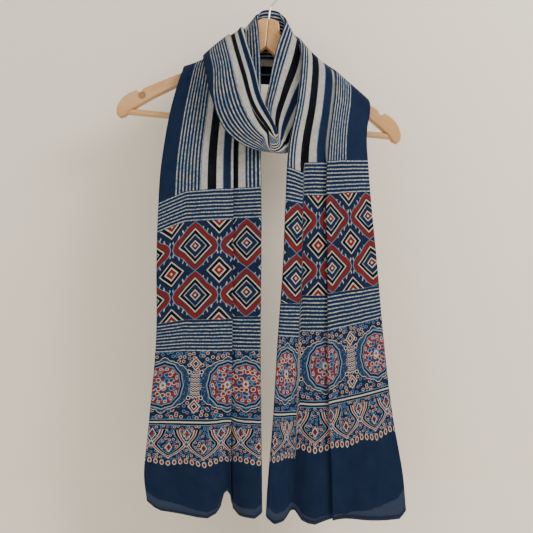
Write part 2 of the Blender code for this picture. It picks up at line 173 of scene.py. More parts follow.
STATIONS = (
    # Left tail, from its hem up
    Station((-0.015, -0.040, -0.835), (-0.189, -0.040, -0.826), 0.0034, 0.000, 0.004, "left_hem"),
    Station((-0.015, -0.042, -0.787), (-0.192, -0.042, -0.785), 0.0034, 0.000, 0.004, "left_hem"),
    Station((-0.016, -0.044, -0.689), (-0.184, -0.044, -0.689), 0.0032, 0.000, 0.004, "left_hem"),
    Station((-0.017, -0.045, -0.554), (-0.174, -0.042, -0.558), 0.0030, -0.004, 0.004, "left_hem"),
    Station((-0.016, -0.045, -0.449), (-0.174, -0.040, -0.455), 0.0030, -0.006, 0.004, "left_hem"),
    Station((-0.016, -0.044, -0.359), (-0.173, -0.036, -0.370), 0.0028, -0.010, 0.004, "left_tail"),
    Station((-0.017, -0.040, -0.284), (-0.169, -0.032, -0.297), 0.0026, -0.008, 0.004, "left_tail"),
    Station((-0.017, -0.030, -0.205), (-0.156, -0.026, -0.222), 0.0022, 0.000, 0.002, "left_tail"),
    Station((-0.018, -0.021, -0.130), (-0.145, -0.020, -0.176), 0.0018, 0.000, 0.000, "left_tail"),
    # Over the left arm
    Station((-0.021, -0.0185, -0.090), (-0.139, -0.0175, -0.157), 0.0015, 0.0, -0.004, "left_tail"),
    Station(
        (-0.0245, -0.0015, -0.062), (-0.135, -0.0005, -0.142), 0.0014, 0.0, -0.0122, "left_tail"
    ),
    # Behind the neck, the first time
    Station((-0.022, 0.0195, -0.049), (-0.110, 0.0215, -0.150), 0.0015, 0.0, -0.002, "collar"),
    Station((-0.002, 0.026, -0.042), (-0.006, 0.026, -0.147), 0.0018, 0.0, 0.000, "collar"),
    Station((0.019, 0.0205, -0.051), (0.078, 0.0225, -0.156), 0.0017, 0.0, -0.002, "collar"),
    # Over the right arm
    Station((0.0235, 0.0, -0.0675), (0.098, 0.0, -0.1555), 0.0015, 0.0, -0.0095, "collar"),
    Station((0.0195, -0.0195, -0.088), (0.095, -0.0190, -0.182), 0.0015, 0.0, -0.003, "collar"),
    # The cowl in front: down its right side, round the bottom, up its left side
    Station((0.010, -0.025, -0.116), (0.096, -0.0235, -0.212), 0.0018, 0.0, 0.000, "collar"),
    Station((-0.003, -0.031, -0.176), (0.067, -0.029, -0.251), 0.0018, 0.0, 0.002, "collar"),
    Station((-0.009, -0.037, -0.226), (0.045, -0.034, -0.275), 0.0020, 0.0, 0.002, "collar"),
    Station((0.000, -0.045, -0.253), (0.026, -0.042, -0.286), 0.0022, 0.0, 0.002, "collar"),
    Station((0.009, -0.057, -0.264), (0.004, -0.053, -0.2905), 0.0022, 0.0, 0.002, "collar"),
    Station((0.003, -0.065, -0.249), (-0.027, -0.062, -0.287), 0.0022, 0.0, 0.004, "left_band"),
    Station((-0.014, -0.063, -0.214), (-0.064, -0.062, -0.264), 0.0022, 0.0, 0.006, "left_band"),
    Station((-0.027, -0.054, -0.162), (-0.090, -0.055, -0.207), 0.0020, 0.0, 0.006, "left_band"),
    Station((-0.039, -0.041, -0.120), (-0.099, -0.044, -0.168), 0.0017, 0.0, 0.004, "left_band"),
    # Over the left arm again, on top of the first turn
    Station((-0.045, -0.029, -0.096), (-0.1045, -0.030, -0.144), 0.0015, 0.0, 0.002, "left_band"),
    Station(
        (-0.0475, -0.001, -0.0785), (-0.1065, -0.001, -0.1265), 0.0014, 0.0, 0.002, "left_band"
    ),
    # Behind the neck again, outside the first turn
    Station((-0.040, 0.035, -0.065), (-0.091, 0.038, -0.152), 0.0020, 0.0, 0.002, "left_band"),
    Station((-0.002, 0.044, -0.048), (-0.005, 0.044, -0.155), 0.0020, 0.0, 0.002, "left_band"),
    Station((0.037, 0.036, -0.074), (0.104, 0.038, -0.173), 0.0022, 0.0, 0.002, "left_band"),
    # Over the right arm, on top of the first turn
    Station((0.0451, 0.000, -0.0985), (0.1465, 0.000, -0.1915), 0.0014, 0.0, 0.000, "right_tail"),
    Station((0.046, -0.029, -0.124), (0.150, -0.028, -0.208), 0.0016, 0.0, 0.001, "right_tail"),
    # Right tail, down to its hem
    Station((0.044, -0.037, -0.166), (0.1495, -0.031, -0.228), 0.0020, 0.000, 0.002, "right_tail"),
    Station((0.040, -0.045, -0.205), (0.145, -0.036, -0.247), 0.0024, 0.000, 0.003, "right_tail"),
    Station((0.027, -0.050, -0.270), (0.145, -0.042, -0.284), 0.0028, 0.010, 0.004, "right_tail"),
    Station((0.021, -0.050, -0.360), (0.149, -0.044, -0.356), 0.0030, 0.014, 0.004, "right_hem"),
    Station((0.017, -0.050, -0.458), (0.157, -0.044, -0.446), 0.0030, 0.016, 0.004, "right_hem"),
    Station((0.009, -0.049, -0.569), (0.167, -0.044, -0.556), 0.0030, 0.016, 0.004, "right_hem"),
    Station((0.002, -0.047, -0.688), (0.180, -0.044, -0.670), 0.0032, 0.016, 0.004, "right_hem"),
    Station((-0.005, -0.045, -0.779), (0.196, -0.042, -0.760), 0.0034, 0.016, 0.004, "right_hem"),
    Station((-0.008, -0.044, -0.842), (0.202, -0.040, -0.822), 0.0034, 0.016, 0.004, "right_hem"),
)

# Troughs that run up a tail from its hem, shared by all its layers: which end of the cloth, where
# across, half width, depth at the hem, depth high up, and the length over which one becomes the
# other.
Trough = namedtuple("Trough", "end across half_width hem_depth high_depth fade")

TROUGHS = (
    Trough("left", 0.31, 0.09, 0.020, 0.003, 0.21),
    Trough("right", 0.19, 0.07, 0.014, 0.004, 0.25),
    Trough("right", 0.55, 0.12, 0.006, 0.003, 0.25),
    Trough("left", 0.72, 0.14, 0.005, 0.002, 0.30),
)


def smooth_step(x):
    x = np.clip(x, 0.0, 1.0)
    return x * x * (3.0 - 2.0 * x)


def along_stations(values, places, wanted):
    """Hermite curve through a value at each station, read at the wanted places."""
    values = np.asarray(values, float)
    slopes = np.zeros_like(values)
    steps = np.diff(places)[:, None]
    rises = np.diff(values, axis=0) / steps
    slopes[1:-1] = (rises[:-1] * steps[1:] + rises[1:] * steps[:-1]) / (steps[:-1] + steps[1:])
    slopes[0] = rises[0]
    slopes[-1] = rises[-1]
    first = np.clip(np.searchsorted(places, wanted, side="right") - 1, 0, len(places) - 2)
    step = (places[first + 1] - places[first])[:, None]
    t = ((wanted - places[first])[:, None]) / step
    start = (1 + 2 * t) * (1 - t) ** 2 * values[first]
    end = t * t * (3 - 2 * t) * values[first + 1]
    turn = t * (1 - t) ** 2 * step * slopes[first] - t * t * (1 - t) * step * slopes[first + 1]
    return start + end + turn


def between_stations(values, places, wanted):
    """Eases from each station's value to the next without running past either."""
    values = np.asarray(values, float)
    first = np.clip(np.searchsorted(places, wanted, side="right") - 1, 0, len(places) - 2)
    share = smooth_step((wanted - places[first]) / (places[first + 1] - places[first]))
    return values[first] + share[:, None] * (values[first + 1] - values[first])


def spline_weights(count, wanted):
    """Weights of a clamped cubic B-spline's control points at the wanted places from 0 to 1."""
    knots = np.concatenate([np.zeros(3), np.linspace(0, 1, count - 2), np.ones(3)])
    wanted = np.minimum(wanted, 1 - 1e-9)
    weights = ((wanted[:, None] >= knots[:-1]) & (wanted[:, None] < knots[1:])).astype(float)
    for degree in range(1, 4):
        size = len(knots) - degree - 1
        raised = np.zeros((len(wanted), size))
        for i in range(size):
            left = knots[i + degree] - knots[i]
            right = knots[i + degree + 1] - knots[i + 1]
            if left > 0:
                raised[:, i] += (wanted - knots[i]) / left * weights[:, i]
            if right > 0:
                raised[:, i] += (knots[i + degree + 1] - wanted) / right * weights[:, i + 1]
        weights = raised
    return weights


def section_controls(folds, width, gap):
    """Control points (across, depth) of one section, in metres, two to each side of a fold."""
    points = [(folds[0][0] * width, folds[0][1] * gap)]
    for i in range(1, len(folds)):
        across, before, after = folds[i]
        came = (across - folds[i - 1][0]) * width
        back = -np.clip(came / (2 * FOLD_ROUND), -1, 1) * FOLD_ROUND
        middle = ((folds[i - 1][0] + across) / 2 * width, (folds[i - 1][2] + before) / 2 * gap)
        points.append(middle)
        if i == len(folds) - 1:
            points.append((across * width, before * gap))
            break
        goes = (folds[i + 1][0] - across) * width
        ahead = np.clip(goes / (2 * FOLD_ROUND), -1, 1) * FOLD_ROUND
        points.append((across * width + back, before * gap))
        points.append((across * width, before * gap))
        points.append((across * width, after * gap))
        points.append((across * width + ahead, after * gap))
    return np.array(points)


def trough_depth(across, from_hem, end):
    depth = np.zeros_like(across)
    for trough in TROUGHS:
        if trough.end != end:
            continue
        rise = smooth_step(from_hem / trough.fade)
        fades = 1 - smooth_step((from_hem - TAIL_LENGTH * 0.75) / (TAIL_LENGTH * 0.25))
        size = trough.hem_depth * (1 - rise) + trough.high_depth * rise
        depth += fades * size * np.exp(-(((across - trough.across) / trough.half_width) ** 2))
    return depth


def row_places(places, middle):
    """Rows between stations, more of them where the cloth turns or runs far."""
    legs = np.diff(middle, axis=0)
    lengths = np.linalg.norm(legs, axis=1)
    headings = legs / lengths[:, None]
    bends = np.degrees(np.arccos(np.clip((headings[1:] * headings[:-1]).sum(axis=1), -1, 1)))
    nearby = np.zeros(len(legs))
    nearby[1:] += bends / 2
    nearby[:-1] += bends / 2
    wanted = [0.0]
    for leg, length in enumerate(lengths):
        steps = int(np.ceil(nearby[leg] / ROW_BEND + length / ROW_LENGTH))
        wanted += [places[leg] + length * (step + 1) / steps for step in range(steps)]
    return np.array(wanted)


# Which part of the flat cloth shows where: for each named cut, the place among the fold lines and
# the distance from the first selvedge.
CUTS = {
    "left hem": (
        (0, 0.0), (1, 0.004), (2, 0.114), (3, 0.146), (4, 0.186), (5, 0.2205),
        (6, 0.305), (7, 0.345), (8, 0.375),
    ),
    "left tail": (
        (0, 0.0), (1, 0.004), (2, 0.114), (3, 0.119), (4, 0.133), (5, 0.165),
        (6, 0.27), (7, 0.33), (8, 0.375),
    ),
    "collar": (
        (0, 0.0), (1, 0.050), (2, 0.055), (3, 0.115), (4, 0.127), (5, 0.159),
        (6, 0.252), (7, 0.300), (8, 0.375),
    ),
    "left band": (
        (0, 0.0), (1, 0.028), (2, 0.077), (3, 0.165), (4, 0.262), (5, 0.2815),
        (6, 0.359), (7, 0.366), (8, 0.375),
    ),
    "left band low": (
        (0, 0.0), (1, 0.028), (2, 0.088), (3, 0.165), (4, 0.262), (5, 0.2815),
        (6, 0.359), (7, 0.366), (8, 0.375),
    ),
    "left band high": (
        (0, 0.0), (1, 0.012), (2, 0.077), (3, 0.165), (4, 0.262), (5, 0.2815),
        (6, 0.359), (7, 0.366), (8, 0.375),
    ),
    "right tail": (
        (0, 0.0), (1, -0.0045), (1.56, 0.029), (2, 0.066), (3, 0.084), (4, 0.126),
        (5, 0.158), (6, 0.26), (7, 0.33), (8, 0.375),
    ),
    "right diamonds": (
        (0, 0.0), (1, -0.003), (1.12, 0.004), (2, 0.080), (3, 0.055), (4, 0.132),
        (5, 0.163), (6, 0.26), (7, 0.33), (8, 0.375),
    ),
    "right medallions": (
        (0, 0.0), (1, 0.002), (2, 0.1035), (3, 0.0617), (3.99, 0.1485), (4.01, 0.1700),
        (5, 0.226), (6, 0.30), (7, 0.34), (8, 0.375),
    ),
}
# (place among the stations, cut)
CUT_PLACES = (
    (0.0, "left hem"), (4.7, "left hem"), (5.2, "left tail"), (10.0, "left tail"),
    (11.0, "collar"), (19.0, "collar"), (20.5, "left band low"), (22.5, "left band"),
    (24.0, "left band high"), (29.0, "left band high"), (30.0, "right tail"),
    (34.33, "right tail"), (34.93, "right diamonds"), (36.4, "right diamonds"),
    (36.95, "right medallions"), (40.0, "right medallions"),
)
# Heights of the edges of the printed bands on each tail, at places among the fold lines.
BAND_EDGES = (
    0.0, PLAIN_TOP, ARCH_TOP, RULE_TOP, MEDALLION_TOP, LINES_TOP, DIAMOND_TOP, END_TOP,
)
LEFT_HEIGHTS = (
    (1.0, (-0.823, -0.753, -0.696, -0.687, -0.588, -0.546, -0.409, -0.363)),
    (1.37, (-0.841, -0.756, -0.698, -0.687, -0.585, -0.539, -0.392, -0.345)),
    (2.0, (-0.838, -0.756, -0.696, -0.686, -0.585, -0.537, -0.389, -0.341)),
    (3.0, (-0.833, -0.755, -0.686, -0.675, -0.582, -0.535, -0.387, -0.340)),
    (4.0, (-0.833, -0.755, -0.696, -0.686, -0.585, -0.534, -0.387, -0.340)),
    (5.0, (-0.832, -0.755, -0.698, -0.687, -0.585, -0.534, -0.386, -0.339)),
)
RIGHT_HEIGHTS = (
    (1.0, (-0.802, -0.705, -0.645, -0.636, -0.535, -0.487, -0.348, -0.299)),
    (2.0, (-0.829, -0.732, -0.668, -0.657, -0.555, -0.499, -0.352, -0.301)),
    (3.0, (-0.832, -0.735, -0.671, -0.660, -0.556, -0.502, -0.353, -0.303)),
    (3.97, (-0.832, -0.736, -0.671, -0.660, -0.556, -0.502, -0.353, -0.303)),
    (4.0, (-0.844, -0.749, -0.687, -0.677, -0.565, -0.515, -0.365, -0.318)),
    (5.0, (-0.835, -0.749, -0.684, -0.674, -0.562, -0.514, -0.361, -0.309)),
)
# How the hem rises across each tail: (share of the width from the neck edge, rise).
HEM_LINES = {
    "left": (
        (0.0, 0.005), (0.06, -0.005), (0.20, -0.005), (0.26, 0.001), (0.295, 0.030),
        (0.335, 0.030), (0.37, 0.001), (0.45, -0.006), (0.70, -0.004), (0.90, 0.002), (1.0, 0.015),
    ),
    "right": (
        (0.0, 0.008), (0.05, -0.005), (0.13, -0.005), (0.18, 0.005), (0.21, 0.005), (0.25, -0.008),
        (0.33, -0.014), (0.42, -0.009), (0.95, 0.000), (1.0, 0.012),
    ),
}
HEM_REACH = 0.10
LEFT_TAIL_TOP = 8.0
RIGHT_TAIL_TOP = 33.0


def fine_columns(fold_count):
    """Places along a section's spline, several to each of its spans."""
    spans = 5 * (fold_count - 2)
    return np.linspace(0, 1, spans * COLUMNS_BETWEEN + 1)


def fold_places(fold_count):
    """Where each fold line lies along a section's spline."""
    count = 5 * (fold_count - 2) + 3
    knots = np.concatenate([np.zeros(3), np.linspace(0, 1, count - 2), np.ones(3)])
    middles = [knots[i + 1 : i + 4].mean() for i in range(count)]
    found = [0.0]
    for i in range(1, fold_count - 1):
        found.append((middles[5 * (i - 1) + 3] + middles[5 * (i - 1) + 4]) / 2)
    return np.array([*found, 1.0])


def hem_lift(share, end):
    """How far the hem rises above its lowest line, across a tail."""
    return np.interp(share, *zip(*HEM_LINES[end]))


def ripple(across, along, height):
    """Small slow waves of the hanging cloth, the same in all its layers."""
    wave = np.sin(38 * across + 9 * height) * np.sin(17 * height + 1.3)
    wave += 0.6 * np.sin(83 * across - 14 * height + 2.0)
    return 0.0007 * wave * along


def cloth_points():
    """Middle surface of the cloth, rows along it, columns across it, and its flat coordinates."""
    neck = np.array([station.neck for station in STATIONS])
    outer = np.array([station.outer for station in STATIONS])
    middle = (neck + outer) / 2
    chords = np.linalg.norm(np.diff(middle, axis=0), axis=1)
    places = np.concatenate([[0.0], np.cumsum(chords)])
    shapes = []
    for station in STATIONS:
        folds = [value for fold in SECTIONS[station.section] for value in fold]
        shapes.append((station.gap, station.droop, station.crown, *folds))
    wanted = row_places(places, middle)
    edges = along_stations(np.hstack([neck, outer]), places, wanted)
    shapes = between_stations(shapes, places, wanted)
    ahead = along_stations(middle, places, np.minimum(wanted + 0.002, places[-1]))
    behind = along_stations(middle, places, np.maximum(wanted - 0.002, 0.0))
    fold_count = len(SECTIONS["collar"])
    columns = fine_columns(fold_count)
    weights = spline_weights(5 * fold_count - 7, columns)
    surface = np.zeros((len(wanted), len(columns), 3))
    for row, shape in enumerate(shapes):
        inner, edge = edges[row, 0:3], edges[row, 3:6]
        gap, droop, crown = shape[0:3]
        folds = shape[3:].reshape(-1, 3)
        width = np.linalg.norm(inner - edge)
        towards_neck = (inner - edge) / width
        along = ahead[row] - behind[row]
        normal = np.cross(towards_neck, along)
        normal /= np.linalg.norm(normal)
        along = np.cross(normal, towards_neck)
        across, depth = (weights @ section_controls(folds, width, gap)).T
        share = np.clip(across / width, 0, 1)
        lift = 4 * crown * share * (1 - share) - depth
        from_left = wanted[row]
        from_right = places[-1] - wanted[row]
        lift -= trough_depth(share, from_left, "left")
        lift -= trough_depth(share, from_right, "right")
        slack = smooth_step((TAIL_LENGTH - min(from_left, from_right)) / 0.15)
        lift += ripple(across, slack, inner[2])
        slide = droop * smooth_step((share - 0.45) / 0.55)
        slide += hem_lift(share, "left") * (1 - smooth_step(from_left / HEM_REACH))
        slide -= hem_lift(share, "right") * (1 - smooth_step(from_right / HEM_REACH))
        surface[row] = (
            inner
            - across[:, None] * towards_neck
            + lift[:, None] * normal
            + slide[:, None] * along
        )
    return surface, flat_places(surface, places, wanted, columns)


def flat_places(surface, places, wanted, columns):
    """Flat coordinates of each point: distance from the selvedge and distance from the left hem."""
    folds = fold_places(len(SECTIONS["collar"]))
    fold_columns = np.clip(np.searchsorted(columns, folds), 0, len(columns) - 1)
    station_of_row = np.interp(wanted, places, np.arange(len(places)))
    cut_at = np.array([place for place, _ in CUT_PLACES])
    steps = np.linalg.norm(np.diff(surface, axis=1), axis=2)
    reach = np.concatenate([np.zeros((len(wanted), 1)), np.cumsum(steps, axis=1)], axis=1)
    numbers = np.arange(len(fold_columns))
    fold_of = np.array([np.interp(row, row[fold_columns], numbers) for row in reach])
    flat = np.zeros((*surface.shape[:2], 2))
    for row, station in enumerate(station_of_row):
        leg = int(np.clip(np.searchsorted(cut_at, station, side="right") - 1, 0, len(cut_at) - 2))
        share = smooth_step((station - cut_at[leg]) / (cut_at[leg + 1] - cut_at[leg]))
        before, after = (CUTS[CUT_PLACES[leg + i][1]] for i in (0, 1))
        low = np.interp(fold_of[row], *zip(*before))
        high = np.interp(fold_of[row], *zip(*after))
        flat[row, :, 0] = low + share * (high - low)
    down = np.linalg.norm(np.diff(surface, axis=0), axis=2)
    run = np.concatenate([np.zeros((1, surface.shape[1])), np.cumsum(down, axis=0)])
    left = tail_heights(surface, fold_of, LEFT_HEIGHTS, surface[0, :, 2])
    right = tail_heights(surface, fold_of, RIGHT_HEIGHTS, surface[-1, :, 2])
    first = int(np.searchsorted(station_of_row, LEFT_TAIL_TOP))
    last = int(np.searchsorted(station_of_row, RIGHT_TAIL_TOP))
    flat[: first + 1, :, 1] = left[: first + 1]
    flat[last:, :, 1] = FLAT_LENGTH - right[last:]
    begin, end = flat[first, :, 1], flat[last, :, 1]
    part = (run[first : last + 1] - run[first]) / (run[last] - run[first])
    flat[first : last + 1, :, 1] = begin + part * (end - begin)
    return flat


def tail_heights(surface, fold_of, heights, hem):
    """Distance from the hem of each point of a tail, from the heights of its band edges."""
    at = [place for place, _ in heights]
    levels = [np.interp(fold_of, at, [row[1][band] for row in heights]) for band in range(8)]
    levels[0] = np.broadcast_to(hem, levels[0].shape)
    z = surface[:, :, 2]
    found = z - levels[0]
    for band in range(7):
        share = (z - levels[band]) / (levels[band + 1] - levels[band])
        value = BAND_EDGES[band] + share * (BAND_EDGES[band + 1] - BAND_EDGES[band])
        found = np.where(share >= 0, value, found)
    above = BAND_EDGES[7] + (z - levels[7])
    return np.where(z > levels[7], above, found)


class Field:
    """A number that changes over the surface: one socket of a node tree, with arithmetic."""

    def __init__(self, tree, socket):
        self.tree = tree
        self.socket = socket

    def put(self, operation, *others, clamp=False):
        node = self.tree.nodes.new("ShaderNodeMath")
        node.operation = operation
        node.use_clamp = clamp
        for slot, value in enumerate((self, *others)):
            if isinstance(value, Field):
                self.tree.links.new(value.socket, node.inputs[slot])
            else:
                node.inputs[slot].default_value = value
        return Field(self.tree, node.outputs[0])

    def __add__(self, other):
        return self.put("ADD", other)

    def __sub__(self, other):
        return self.put("SUBTRACT", other)

    def __mul__(self, other):
        return self.put("MULTIPLY", other)

    def __truediv__(self, other):
        return self.put("DIVIDE", other)

    def size(self):
        return self.put("ABSOLUTE")

    def part(self):
        return self.put("FRACT")

    def least(self, other):
        return self.put("MINIMUM", other)

    def most(self, other):
        return self.put("MAXIMUM", other)

    def root(self):
        return self.put("SQRT")

    def above(self, edge, soft):
        """0 below the edge and 1 above it, over a soft step."""
        return self.put("MULTIPLY_ADD", 1 / soft, 0.5 - edge / soft, clamp=True)

    def below(self, edge, soft):
        return self.put("MULTIPLY_ADD", -1 / soft, 0.5 + edge / soft, clamp=True)

    def near(self, centre, half, soft):
        return (self - centre).size().below(half, soft)

    def between(self, low, high, soft):
        return self.near((low + high) / 2, (high - low) / 2, soft)

    def cell(self, pitch, offset=0.0):
        """Distance from the middle of the nearest of a row of repeats."""
        return ((self / pitch + (0.5 + offset)).part() - 0.5) * pitch

    def curve(self, points, reach):
        """Height of a smooth curve through (value, height) points, both over 0 to reach."""
        node = self.tree.nodes.new("ShaderNodeFloatCurve")
        line = node.mapping.curves[0]
        for index, (place, height) in enumerate(points):
            if index < 2:
                line.points[index].location = (place / reach, height / reach)
            else:
                line.points.new(place / reach, height / reach)
        node.mapping.update()
        self.tree.links.new((self / reach).socket, node.inputs["Value"])
        return Field(self.tree, node.outputs[0]) * reach


def new_group(name, takes, gives):
    """A shader node group with named sockets: (tree, its inputs by name, its output node)."""
    tree = bpy.data.node_groups.new(name, "ShaderNodeTree")
    for label, kind, value in takes:
        socket = tree.interface.new_socket(label, in_out="INPUT", socket_type=kind)
        if value is not None:
            socket.default_value = value
    for label, kind in gives:
        tree.interface.new_socket(label, in_out="OUTPUT", socket_type=kind)
    enter = tree.nodes.new("NodeGroupInput")
    leave = tree.nodes.new("NodeGroupOutput")
    inputs = {}
    for label, kind, _ in takes:
        socket = enter.outputs[label]
        inputs[label] = Field(tree, socket) if kind == "NodeSocketFloat" else socket
    return tree, inputs, leave


def use_group(tree, group, **links):
    """Places a group in a tree and links its inputs, whose names are written with _ for spaces."""
    node = tree.nodes.new("ShaderNodeGroup")
    node.node_tree = group
    for label, value in links.items():
        socket = node.inputs[label.replace("_", " ")]
        if isinstance(value, Field):
            tree.links.new(value.socket, socket)
        elif isinstance(value, bpy.types.NodeSocket):
            tree.links.new(value, socket)
        else:
            socket.default_value = value
    return node


def paint(tree, under, over, mask):
    """One colour laid over another where the mask is 1."""
    node = tree.nodes.new("ShaderNodeMix")
    node.data_type = "RGBA"
    tree.links.new(mask.socket, node.inputs[0])
    for slot, colour in ((6, under), (7, over)):
        if isinstance(colour, bpy.types.NodeSocket):
            tree.links.new(colour, node.inputs[slot])
        else:
            node.inputs[slot].default_value = (*colour, 1.0)
    return node.outputs[2]


def paint_layers(tree, colour, layers):
    """Lays each dye of (dye, mask) over the one before."""
    for dye, mask in layers:
        colour = paint(tree, colour, dye, mask)
    return colour


def noise(tree, where, scale, detail=2.0, rough=0.5):
    node = tree.nodes.new("ShaderNodeTexNoise")
    node.inputs["Scale"].default_value = scale
    node.inputs["Detail"].default_value = detail
    node.inputs["Roughness"].default_value = rough
    tree.links.new(where, node.inputs["Vector"])
    return Field(tree, node.outputs[0])


def stretched(tree, where, scale, turn=(0.0, 0.0, 0.0), shift=(0.0, 0.0, 0.0)):
    node = tree.nodes.new("ShaderNodeMapping")
    node.inputs["Scale"].default_value = scale
    node.inputs["Rotation"].default_value = turn
    node.inputs["Location"].default_value = shift
    tree.links.new(where, node.inputs["Vector"])
    return node.outputs[0]


def joined(tree, x, y):
    """A vector of two fields."""
    node = tree.nodes.new("ShaderNodeCombineXYZ")
    tree.links.new(x.socket, node.inputs[0])
    tree.links.new(y.socket, node.inputs[1])
    return node.outputs[0]


INDIGO = (0.0065, 0.0150, 0.044)
SKY = (0.12, 0.22, 0.35)
CHALK = (0.48, 0.455, 0.41)
IRON_BLACK = (0.002, 0.002, 0.0025)
MADDER = (0.17, 0.016, 0.012)
DYES = (
    ("Indigo", "NodeSocketColor", (*INDIGO, 1.0)),
    ("Sky", "NodeSocketColor", (*SKY, 1.0)),
    ("Chalk", "NodeSocketColor", (*CHALK, 1.0)),
    ("Black", "NodeSocketColor", (*IRON_BLACK, 1.0)),
    ("Madder", "NodeSocketColor", (*MADDER, 1.0)),
)
PLACE = (("Across", "NodeSocketFloat", 0.0), ("Along", "NodeSocketFloat", 0.0))
EDGE = 0.0005


def band_of_lines(name, pitch, half):
    """Fine pale lines on the ground, broken as a block prints them."""
    tree, take, leave = new_group(
        name, (("Place", "NodeSocketFloat", 0.0), ("Break", "NodeSocketFloat", 0.5), *DYES),
        (("Color", "NodeSocketColor"),),
    )
    line = take["Place"].cell(pitch).size().below(half, 0.0007)
    pale = paint(tree, take["Sky"], take["Chalk"], take["Break"].above(0.50, 0.16))
    mask = line * take["Break"].above(0.20, 0.35)
    tree.links.new(paint(tree, take["Indigo"], pale, mask), leave.inputs[0])
    return tree


def stripe_group(lines):
    """The long stripes of the field, the same either side of its middle."""
    tree, take, leave = new_group(
        "long stripes", (*PLACE, ("Break", "NodeSocketFloat", 0.5), *DYES),
        (("Color", "NodeSocketColor"),),
    )
    wander = (take["Break"] - 0.5) * 0.0012
    side = (take["Across"] - FLAT_WIDTH / 2).size() + wander
    fine = use_group(
        tree, lines, Place=take["Across"] + 0.0006, Break=take["Break"],
        **{dye: take[dye] for dye in ("Indigo", "Sky", "Chalk")},
    )
    lined = side.below(0.0465, EDGE).most(side.between(0.1195, 0.1585, EDGE))
    colour = paint(tree, take["Indigo"], fine.outputs[0], lined)
    bars = ((0.0465, 0.0555), (0.0675, 0.0765), (0.0885, 0.0975), (0.1105, 0.1195))
    bleed = None
    cream = None
    for low, high in bars:
        wide = side.between(low - 0.0011, high + 0.0011, 0.0010)
        bar = side.between(low, high, 0.0009)
        bleed = wide if bleed is None else bleed.most(wide)
        cream = bar if cream is None else cream.most(bar)
    colour = paint(tree, colour, (0.045, 0.10, 0.18), bleed * 0.85)
    black = side.between(0.0556, 0.0674, 0.0007).most(side.between(0.0976, 0.1104, 0.0007))
    colour = paint(tree, colour, take["Black"], black)
    smear = paint(tree, take["Chalk"], (0.20, 0.25, 0.30), take["Break"].above(0.55, 0.3) * 0.7)
    colour = paint(tree, colour, smear, cream)
    tree.links.new(colour, leave.inputs[0])
    return tree


def diamond_group():
    """Two rows of madder ogees with nested diamonds in them, small diamonds between, and twigs."""
    tree, take, leave = new_group(
        "diamond band", (*PLACE, ("Break", "NodeSocketFloat", 0.5), *DYES),
        (("Color", "NodeSocketColor"),),
    )
    pitch, row = 0.068, (DIAMOND_TOP - LINES_TOP) / 2
    x = take["Across"].cell(pitch)
    y = (take["Along"] - (LINES_TOP + row / 2)).cell(row)
    wide, tall = x.size(), y.size()
    side = tall.curve(
        ((0.0, 0.0325), (0.0365, 0.0), (0.0095, 0.0285), (0.018, 0.018), (0.0275, 0.0105)), 0.04
    )
    inside = side - wide
    pale = paint(tree, take["Sky"], take["Chalk"], take["Break"].above(0.5, 0.2))
    out = wide - side
    slant = (tall - out * 0.9).cell(0.0066).size().below(0.0008, 0.0006)
    twig = slant * out.between(0.0002, 0.0062, 0.0006) * tall.between(0.006, 0.029, 0.002)
    colour = paint(tree, take["Indigo"], pale, twig)
    shade = take["Break"].above(0.52, 0.3) * 0.55
    red = paint(tree, take["Madder"], (0.055, 0.012, 0.016), shade)
    colour = paint_layers(tree, colour, (
        (red, inside.above(0.0, EDGE)),
        (take["Sky"], inside.near(-0.0002, 0.0006, 0.0006)),
    ))
    nest = wide / 0.0233 + tall / 0.0255
    colour = paint_layers(tree, colour, (
        ((0.012, 0.012, 0.03), nest.below(1.12, 0.08)),
        (take["Chalk"], nest.below(1.04, 0.04)),
        (take["Black"], nest.below(0.95, 0.04)),
        (pale, nest.below(0.72, 0.04)),
        (take["Indigo"], nest.below(0.65, 0.04)),
        (take["Chalk"], nest.below(0.34, 0.04)),
        (take["Madder"], nest.below(0.26, 0.04)),
        ((0.01, 0.014, 0.05), nest.below(0.24, 0.04) * (x - y).above(0, 0.001)),
        (take["Chalk"], nest.below(0.09, 0.04)),
    ))
    small = take["Across"].cell(pitch, 0.5).size() / 0.0167
    small = small + (take["Along"] - (LINES_TOP + row / 2)).cell(row, 0.5).size() / 0.0186
    colour = paint_layers(tree, colour, (
        (take["Chalk"], small.below(1.06, 0.05)),
        (take["Black"], small.below(0.95, 0.05)),
        (take["Chalk"], small.below(0.60, 0.05)),
        (take["Madder"], small.below(0.46, 0.05)),
        (take["Chalk"], small.below(0.13, 0.05)),
    ))
    tree.links.new(colour, leave.inputs[0])
    return tree


def floret_group():
    """Small scattered flowers: madder or blue hearts with pale rims."""
    tree, take, leave = new_group(
        "florets",
        (("Where", "NodeSocketVector", None), ("Size", "NodeSocketFloat", 0.4), *DYES),
        (("Color", "NodeSocketColor"), ("Mask", "NodeSocketFloat")),
    )
    cells = tree.nodes.new("ShaderNodeTexVoronoi")
    cells.voronoi_dimensions = "2D"
    cells.inputs["Scale"].default_value = 1.0
    cells.inputs["Randomness"].default_value = 0.75
    tree.links.new(take["Where"], cells.inputs["Vector"])
    away = Field(tree, cells.outputs["Distance"])
    tone = tree.nodes.new("ShaderNodeSeparateColor")
    tree.links.new(cells.outputs["Color"], tone.inputs[0])
    kind = Field(tree, tone.outputs[0])
    rim = paint(tree, take["Chalk"], take["Sky"], kind.above(0.40, 0.02))
    heart = paint(tree, take["Madder"], (0.012, 0.035, 0.11), kind.above(0.58, 0.02))
    colour = paint(tree, rim, heart, (away / take["Size"]).below(0.72, 0.15))
    tree.links.new(colour, leave.inputs[0])
    tree.links.new((away / take["Size"]).below(1.0, 0.2).socket, leave.inputs[1])
    return tree


